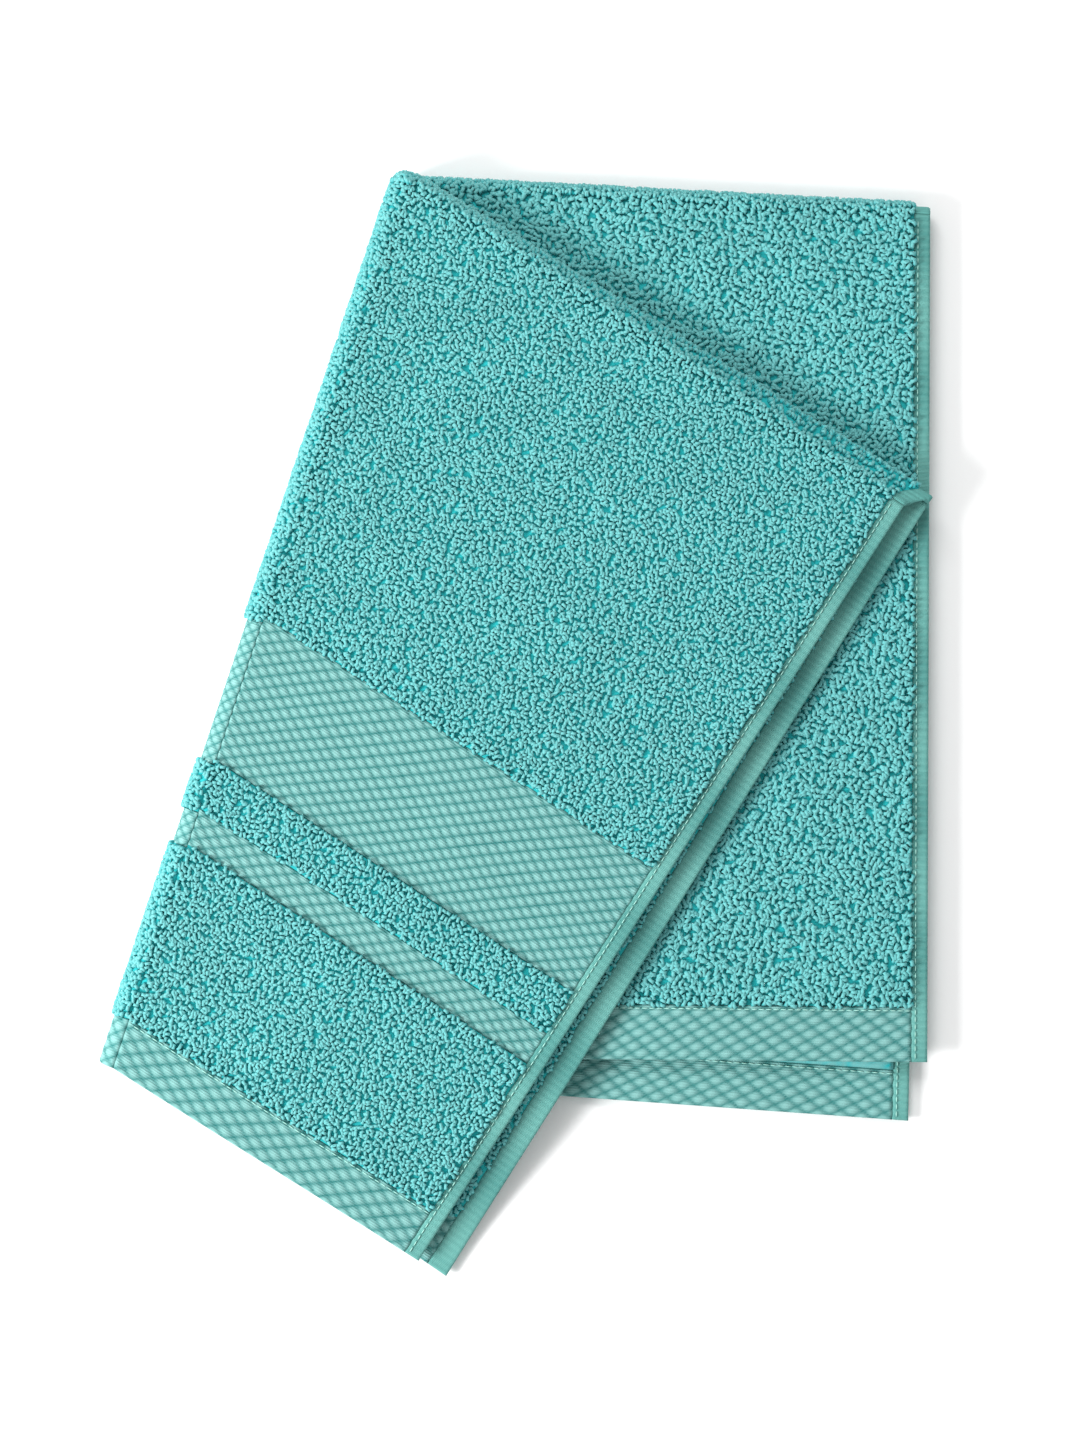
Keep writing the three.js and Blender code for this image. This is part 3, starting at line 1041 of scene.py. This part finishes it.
@dataclass
class FlatLayers:
    """The four flat layers: grounds, bands, hems, stitches and the loops that show."""

    cloth: Cloth
    hem_half: float = 1.2
    stitch_inset: float = 1.6
    stitch_pitch: float = 2.9
    edge_strip: float = 16.0

    def zones(self, layer: Layer) -> list[tuple[Zone, tuple[float, float]]]:
        """Split a layer into its zones.

        Args:
            layer: the layer.

        Returns:
            Each zone with its distances from the layer's end.
        """
        bordered = layer.name in ("back_under", "flap_top")
        start, found = 0.0, []
        for zone in BORDER if bordered else PLAIN:
            end = min(layer.length, start + zone.width)
            found.append((zone, (start, end - 0.05)))
            start = end
        return found

    def build(self) -> None:
        """Build every layer, from the bottom one up."""
        for seed, layer in enumerate(self.cloth.plan.layers.values()):
            for zone, rows in self.zones(layer):
                self.zone(layer, zone, rows, 100 * seed + len(self.cloth.made))
            self.side_hem(layer)
            self.stitches(layer)

    def zone(self, layer: Layer, zone: Zone, rows: tuple[float, float], seed: int) -> None:
        """Build one zone: a woven band, or terry ground with its loops.

        Args:
            layer: the layer that it is part of.
            zone: what it is.
            rows: its distances from the layer's end.
            seed: seed of its loops.
        """
        patch = FlatPatch(layer, rows, layer.side_hem)
        name = f"{layer.name}_{zone.name}"
        shown = layer.name in ("flap_top", "back_top") or zone.name == "end_hem"
        if zone.finish is DIAMOND:
            size, step = weave_of(zone)
            quads = self.cloth.slab(patch, zone.half, step if shown else COARSE,
                                    diamonds(*size), 0.75)
            self.cloth.add(name, quads, DIAMOND, layer.body, name)
            self.cloth.note_sheet(name, patch)
            return
        if layer.name == "back_under":
            quads = self.cloth.slab(patch, zone.half, COARSE, terry_lumps(2.3), 1.2)
            self.cloth.add(name, quads, TERRY, layer.body, name)
            self.cloth.note_sheet(name, patch)
            return
        quads = self.cloth.slab(patch, GROUND_HALF, (6.0, 6.0), plain, 0.0)
        self.cloth.add(name, quads, GROUND, layer.body, name)
        self.cloth.note_sheet(name, patch)
        self.loops(layer, zone, rows, name, seed)

    def loops(self, layer: Layer, zone: Zone, rows: tuple[float, float], name: str,
              seed: int) -> None:
        """Cover a face with loops: small on the flap, large on the back, sparse if covered.

        Args:
            layer, zone, rows: where the loops stand.
            name: the ground's name, which theirs start with.
            seed: seed of their moves.
        """
        face = -1 if layer.name == "flap_under" else 1
        patch = FlatPatch(layer, rows, layer.side_hem, face=face)
        fields = [("loops", SMALL_LOOPS, None)]
        if layer.name == "back_top":
            fields = [("loops", LARGE_LOOPS, lambda flat: ~self.covered(flat)),
                      ("covered_loops", HIDDEN_LOOPS, self.covered)]
        if layer.name == "flap_under":
            fields = [("inner_loops", HIDDEN_LOOPS, None)]
            self.edge_loops(layer, rows, name, seed)
        for label, style, wanted in fields:
            for i, quads in enumerate(terry_loops(patch, style, seed, wanted)):
                self.cloth.add(f"{name}_{label}_{i + 1}", quads, TERRY, layer.body)

    def edge_loops(self, layer: Layer, rows: tuple[float, float], name: str,
                   seed: int) -> None:
        """Put loops where the lower flap layer reaches past the upper one.

        Args:
            layer, rows: where the loops stand.
            name: the ground's name, which theirs start with.
            seed: seed of their moves.
        """
        strip = FlatPatch(layer, rows, layer.side_hem, self.edge_strip)
        for i, quads in enumerate(terry_loops(strip, SMALL_LOOPS, seed + 50)):
            self.cloth.add(f"{name}_edge_loops_{i + 1}", quads, TERRY, layer.body)

    def covered(self, flat: Array) -> Array:
        """True for plan points well under the flap: inside all its sides by COVER_MARGIN.

        Args:
            flat: points in plan.

        Returns:
            One truth value for each point.
        """
        flap = self.cloth.plan.layers["flap_top"]
        corners = [flap.fold_top, flap.fold_end, flap.side_end, flap.side_top]
        inside = np.ones(len(flat), bool)
        for a, b in zip(corners, corners[1:] + corners[:1]):
            edge = unit(b - a)
            inside &= edge[0] * (flat[:, 1] - a[1]) - edge[1] * (flat[:, 0] - a[0]) > COVER_MARGIN
        return inside

    def side_hem(self, layer: Layer) -> None:
        """Build the folded hem down the free side: a low rounded strip of plain weave.

        Args:
            layer: the layer that it edges.
        """
        patch = FlatPatch(layer, (0.0, layer.length), 0.0, layer.side_hem)

        def wavy(across: Array, along: Array) -> Array:
            """Slow waves along the hem and a dent at each stitch."""
            pull = np.cos(2 * np.pi * along / self.stitch_pitch)
            return 0.6 + 0.2 * np.sin(along / 9.0) + 0.12 * pull

        quads = self.cloth.slab(patch, self.hem_half, (0.6, 0.8), wavy, 0.5)
        name = f"{layer.name}_side_hem"
        self.cloth.add(name, quads, HEM_WEAVE, layer.body, name)

    def stitches(self, layer: Layer) -> None:
        """Sew two seams: along the side hem's inner edge, and across the end hem's.

        Args:
            layer: the layer that they are on.
        """
        face = -1 if layer.name == "flap_under" else 1
        end_width = self.zones(layer)[0][0].width
        along = np.linspace(1.0, layer.length - 1.0, 300)
        inset = np.full(along.shape, layer.side_hem - self.stitch_inset)
        self.seam(layer, "side_stitch", inset, along, self.hem_half * face, face)
        width = float(layer.width(np.array(end_width)))
        inset = np.linspace(layer.side_hem, width - 1.0, 200)
        along = np.full(inset.shape, end_width - self.stitch_inset)
        self.seam(layer, "end_stitch", inset, along, 1.55 * face, face)

    def seam(self, layer: Layer, label: str, inset: Array, along: Array, lift: float,
             face: int) -> None:
        """Sew one row of stitches on a layer's face.

        Args:
            layer: the layer.
            label: the seam's name within the layer.
            inset, along: places on the seam.
            lift: height of the thread over the layer's middle.
            face: 1 for the upper face, -1 for the lower.
        """
        line = layer.place(inset, along, np.full(inset.shape, lift))
        up = np.tile([0.0, 0.0, float(face)], (len(line), 1))
        name = f"{layer.name}_{label}"
        self.cloth.add(name, lock_stitches(line, up, self.stitch_pitch), SEWING, layer.body, name)


@dataclass
class Folds:
    """The rolls of cloth over both folds, and the corners where they meet."""

    cloth: Cloth
    flats: FlatLayers

    def build(self) -> None:
        """Build the lengthwise fold, the crosswise ones and the corners."""
        plan = self.cloth.plan
        self.lengthwise("fold", plan.layers["back_under"], 1.5 * plan.pitch, True)
        self.lengthwise("inner_fold", plan.layers["back_top"], 0.5 * plan.pitch, False)
        for prefix in ("back", "flap"):
            self.crosswise(prefix, plan.layers[f"{prefix}_under"], plan.layers[f"{prefix}_top"])

    def lengthwise(self, prefix: str, layer: Layer, radius: float, outer: bool) -> None:
        """Take one cloth round the lengthwise fold, zone by zone.

        Args:
            prefix: what its pieces' names start with.
            layer: the lower layer that it goes on from.
            radius: height of the half ellipse.
            outer: whether it is outside, where its loops show.
        """
        for zone, rows in self.flats.zones(layer):
            patch, name = LongFoldPatch(layer, rows, radius), f"{prefix}_{zone.name}"
            if outer:
                self.cloth.note_sheet(name, patch)
            if zone.finish is DIAMOND:
                size, step = weave_of(zone)
                quads = self.cloth.slab(patch, zone.half, step, diamonds(*size), 0.75)
                self.cloth.add(name, quads, DIAMOND, None, name)
                continue
            quads = self.cloth.slab(patch, GROUND_HALF, (1.5, 6.0), plain, 0.0)
            self.cloth.add(name, quads, GROUND, None, name)
            if outer:
                for i, loops in enumerate(terry_loops(patch, SMALL_LOOPS, 7000 + int(rows[0]))):
                    self.cloth.add(f"{name}_loops_{i + 1}", loops, TERRY, None)

    def crosswise(self, prefix: str, lower: Layer, upper: Layer) -> None:
        """Build the crosswise fold of the back or the flap, its hem's turn and its corner.

        Args:
            prefix: back or flap.
            lower, upper: the layers that it joins.
        """
        whole = CrossFoldPatch(lower, upper, (0.0, 1.0))
        pile = CrossFoldPatch(lower, upper, (upper.side_hem, whole.length))
        name = f"{prefix}_cross_fold"
        quads = self.cloth.slab(pile, GROUND_HALF, (1.2, 6.0), plain, 0.0)
        self.cloth.add(name, quads, GROUND, upper.body, name)
        for i, loops in enumerate(terry_loops(pile, FOLD_LOOPS, 8000 + upper.order)):
            self.cloth.add(f"{name}_loops_{i + 1}", loops, TERRY, upper.body)
        hem = CrossFoldPatch(lower, upper, (0.0, upper.side_hem - 0.1))
        quads = self.cloth.slab(hem, self.flats.hem_half, (0.7, 0.7), plain, 0.0)
        self.cloth.add(f"{prefix}_hem_turn", quads, HEM_WEAVE, upper.body, f"{prefix}_hem_turn")
        self.corner(prefix, CornerPatch(lower, upper, whole.outward))

    def corner(self, prefix: str, patch: CornerPatch) -> None:
        """Build the wedge between the folds, with loops all over it.

        Args:
            prefix: back or flap.
            patch: the wedge.
        """
        quads = self.cloth.slab(patch, GROUND_HALF, (2.0, 1.5), plain, 0.0)
        self.cloth.add(f"{prefix}_corner", quads, GROUND, None, f"{prefix}_corner")
        for i, loops in enumerate(terry_loops(patch, SMALL_LOOPS, 9000 + patch.layer.order)):
            self.cloth.add(f"{prefix}_corner_loops_{i + 1}", loops, TERRY, None)


# ---------------------------------------------------------------- studio
@dataclass
class Studio:
    """The pale floor, the soft lamps and the camera straight above."""

    lens: float = 100.0
    distance: float = 1.60
    centre: tuple[float, float] = (0.0098, 0.002)
    lamp_power: float = 32.0
    sky: float = 0.62
    floor_half: float = 6.0
    floor_drop: float = 0.0004

    def camera(self) -> None:
        """A long lens over the towel, level with the floor's plane."""
        data = bpy.data.cameras.new("camera")
        data.lens = self.lens
        camera = bpy.data.objects.new("camera", data)
        camera.location = (*self.centre, self.distance)
        bpy.context.scene.collection.objects.link(camera)
        bpy.context.scene.camera = camera

    def light(self) -> None:
        """Hang a key lamp to the left and low, a weaker one behind, and an even sky."""
        for name, place, size, share in (("key", (-1.25, -0.4, 0.8), 0.5, 1.0),
                                         ("fill", (-0.3, 1.2, 1.3), 0.8, 0.5)):
            lamp = bpy.data.lights.new(name, "AREA")
            lamp.energy, lamp.size = self.lamp_power * share, size
            holder = bpy.data.objects.new(name, lamp)
            holder.location = place
            aim = -holder.location
            holder.rotation_euler = aim.to_track_quat("-Z", "Y").to_euler()
            bpy.context.scene.collection.objects.link(holder)
        world = bpy.data.worlds.new("sky")
        world.use_nodes = True
        world.node_tree.nodes["Background"].inputs["Color"].default_value = (1, 1, 1, 1)
        world.node_tree.nodes["Background"].inputs["Strength"].default_value = self.sky
        bpy.context.scene.world = world
        bpy.context.scene.view_settings.view_transform = "Standard"

    def floor(self) -> bpy.types.Object:
        """Lay a plain pale floor.

        Returns:
            The floor.
        """
        mesh = bpy.data.meshes.new("floor")
        edge, low = self.floor_half, -self.floor_drop
        mesh.from_pydata([(-edge, -edge, low), (edge, -edge, low), (edge, edge, low),
                          (-edge, edge, low)], [], [(0, 1, 2, 3)])
        material = bpy.data.materials.new("pale_floor")
        material.use_nodes = True
        shader = material.node_tree.nodes["Principled BSDF"]
        shader.inputs["Base Color"].default_value = (0.95, 0.95, 0.95, 1)
        shader.inputs["Roughness"].default_value = 0.9
        mesh.materials.append(material)
        floor = bpy.data.objects.new("floor", mesh)
        bpy.context.scene.collection.objects.link(floor)
        return floor


def main() -> None:
    """Set the camera, then build the layers, the folds and the studio in order."""
    logging.basicConfig(level=logging.INFO, format="%(message)s")
    studio = Studio()
    studio.camera()
    hinge = frame["joints"][0]
    plan = Plan(np.array(hinge["pos_m"][:2]) / MM)
    grain = fibre_group()
    finishes = (TERRY, GROUND, DIAMOND, HEM_WEAVE, SEWING)
    cloth = Cloth({finish.name: finish.make(grain) for finish in finishes}, plan)
    flats = FlatLayers(cloth)
    flats.build()
    Folds(cloth, flats).build()
    studio.floor()
    studio.light()


if __name__ == "__main__":
    main()
